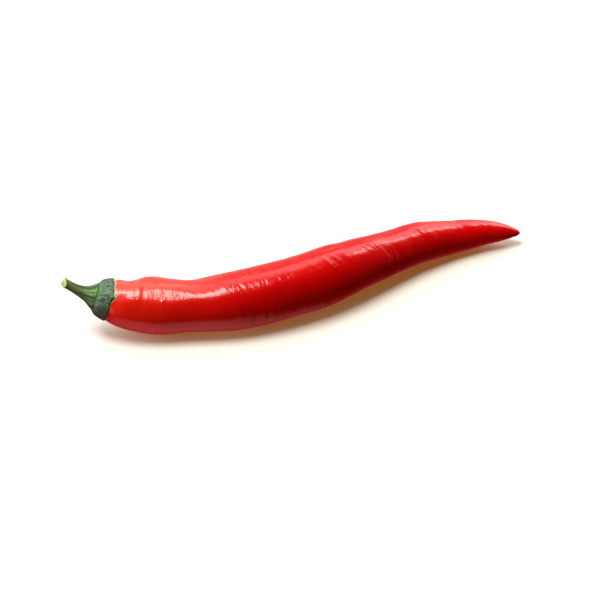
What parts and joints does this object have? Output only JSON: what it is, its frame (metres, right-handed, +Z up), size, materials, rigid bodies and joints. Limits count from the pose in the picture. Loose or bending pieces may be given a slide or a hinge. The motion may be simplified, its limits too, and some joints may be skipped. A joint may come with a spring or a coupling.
{
  "type": "chilli pepper",
  "caption": "Long slender red chilli pepper with a green calyx and a short cut stem, lying on its side in a soft S-curve.",
  "frame": {"origin": "middle of the footprint, on the surface that the chilli lies on", "axes": "+Z up from that surface, +X along the pod from its stem to its tip, +Y to the far side"},
  "size_m": [0.1499, 0.0276, 0.0182],
  "materials": {
    "pod": "waxy gloss",
    "calyx": "dull, ribbed",
    "stem": "satin, ridged"
  },
  "bodies": {
    "root": {"pod": "pod", "calyx": "calyx", "stem": "stem"}
  },
  "joints": []
}
